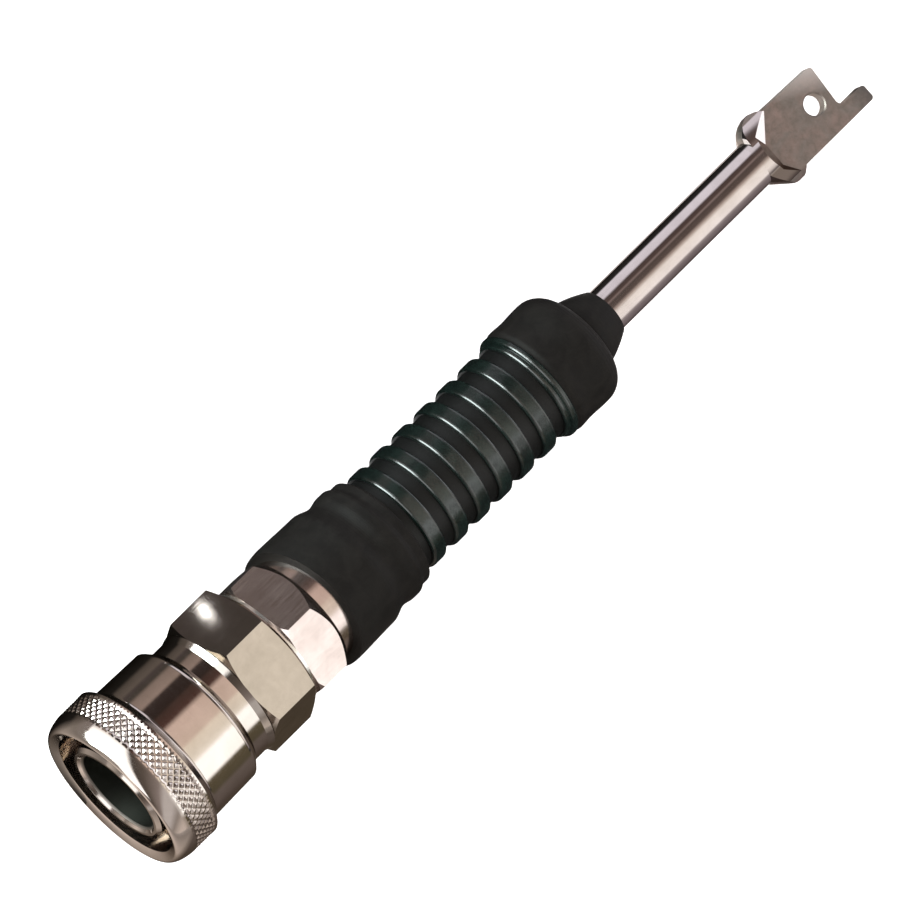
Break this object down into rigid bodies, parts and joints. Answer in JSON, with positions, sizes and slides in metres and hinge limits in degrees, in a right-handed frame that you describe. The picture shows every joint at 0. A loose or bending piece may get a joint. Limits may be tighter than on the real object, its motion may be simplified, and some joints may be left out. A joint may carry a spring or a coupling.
{
  "type": "tire inflator lance",
  "caption": "Hand air lance for tire inflation: ball-lock quick coupler with sliding sleeve, ribbed rubber grip, slim tube and a flattened, notched head.",
  "frame": {"origin": "on the tool's axis where the plug bore starts, just behind the mouth chamfer", "axes": "+X from the plug socket to the head along the axis, +Z normal to the flat head, +Y toward the head's side with no finger"},
  "size_m": [0.1429, 0.0244, 0.0244],
  "materials": {
    "body_nickel": "turned steel, nickel plated",
    "sleeve_nickel": "turned steel, bright nickel plate, diamond knurl on the raised band",
    "adapter_nickel": "hexagon bar, nickel plated, turned chamfers",
    "stem_nickel": "hexagon bar, nickel plated, turned end",
    "washer_metal": "flat washer, bright edge",
    "spring_steel": "bare spring steel",
    "ball_steel": "polished hardened steel",
    "brass": "turned brass",
    "barrel_steel": "drawn steel tube",
    "tube_chrome": "polished tube",
    "head_steel": "forged flat, satin nickel plate",
    "seal_rubber": "moulded seal rubber",
    "boot_rubber": "moulded black rubber, matte",
    "grip_rubber": "moulded dark green rubber, glossy"
  },
  "bodies": {
    "lance": {"coupler_body": "body_nickel", "sleeve_spring": "spring_steel", "sleeve_stop_ring": "spring_steel", "plug_packing": "seal_rubber", "valve_spring": "spring_steel", "spring_retainer": "brass", "body_gasket": "seal_rubber", "hex_adapter": "adapter_nickel", "sealing_washer": "washer_metal", "handle_stem": "stem_nickel", "stem_o_ring": "seal_rubber", "handle_barrel": "barrel_steel", "rear_boot": "boot_rubber", "ribbed_grip": "grip_rubber", "front_boot": "boot_rubber", "front_bush": "brass", "tube_ferrule": "brass", "gland_nut": "brass", "air_tube": "tube_chrome", "tool_head": "head_steel"},
    "sleeve": {"coupler_sleeve": "sleeve_nickel"},
    "ball_1": {"locking_ball_1": "ball_steel"},
    "ball_2": {"locking_ball_2": "ball_steel"},
    "ball_3": {"locking_ball_3": "ball_steel"},
    "ball_4": {"locking_ball_4": "ball_steel"},
    "ball_5": {"locking_ball_5": "ball_steel"},
    "ball_6": {"locking_ball_6": "ball_steel"},
    "valve": {"valve_poppet": "brass", "poppet_seal": "seal_rubber"}
  },
  "joints": [
    {"name": "sleeve_slide", "type": "slide", "parent": "lance", "child": "sleeve", "axis": [1, 0, 0], "range_m": [0, 0.0018], "stiffness_N_per_m": 2000, "springref_m": -0.004, "deforming": ["sleeve_spring"]},
    {"name": "ball_1_slide", "type": "slide", "parent": "lance", "child": "ball_1", "axis": [0, -1, 0], "range_m": [0, 0.0009]},
    {"name": "ball_2_slide", "type": "slide", "parent": "lance", "child": "ball_2", "axis": [0, -0.5, -0.866], "range_m": [0, 0.0009]},
    {"name": "ball_3_slide", "type": "slide", "parent": "lance", "child": "ball_3", "axis": [0, 0.5, -0.866], "range_m": [0, 0.0009]},
    {"name": "ball_4_slide", "type": "slide", "parent": "lance", "child": "ball_4", "axis": [0, 1, 0], "range_m": [0, 0.0009]},
    {"name": "ball_5_slide", "type": "slide", "parent": "lance", "child": "ball_5", "axis": [0, 0.5, 0.866], "range_m": [0, 0.0009]},
    {"name": "ball_6_slide", "type": "slide", "parent": "lance", "child": "ball_6", "axis": [0, -0.5, 0.866], "range_m": [0, 0.0009]},
    {"name": "valve_slide", "type": "slide", "parent": "lance", "child": "valve", "axis": [1, 0, 0], "range_m": [0, 0.0025], "stiffness_N_per_m": 600, "springref_m": -0.004, "deforming": ["valve_spring"]}
  ],
  "couplings": [
    {"joint": "ball_1_slide", "follows": "sleeve_slide", "ratio": 0.5},
    {"joint": "ball_2_slide", "follows": "sleeve_slide", "ratio": 0.5},
    {"joint": "ball_3_slide", "follows": "sleeve_slide", "ratio": 0.5},
    {"joint": "ball_4_slide", "follows": "sleeve_slide", "ratio": 0.5},
    {"joint": "ball_5_slide", "follows": "sleeve_slide", "ratio": 0.5},
    {"joint": "ball_6_slide", "follows": "sleeve_slide", "ratio": 0.5}
  ]
}
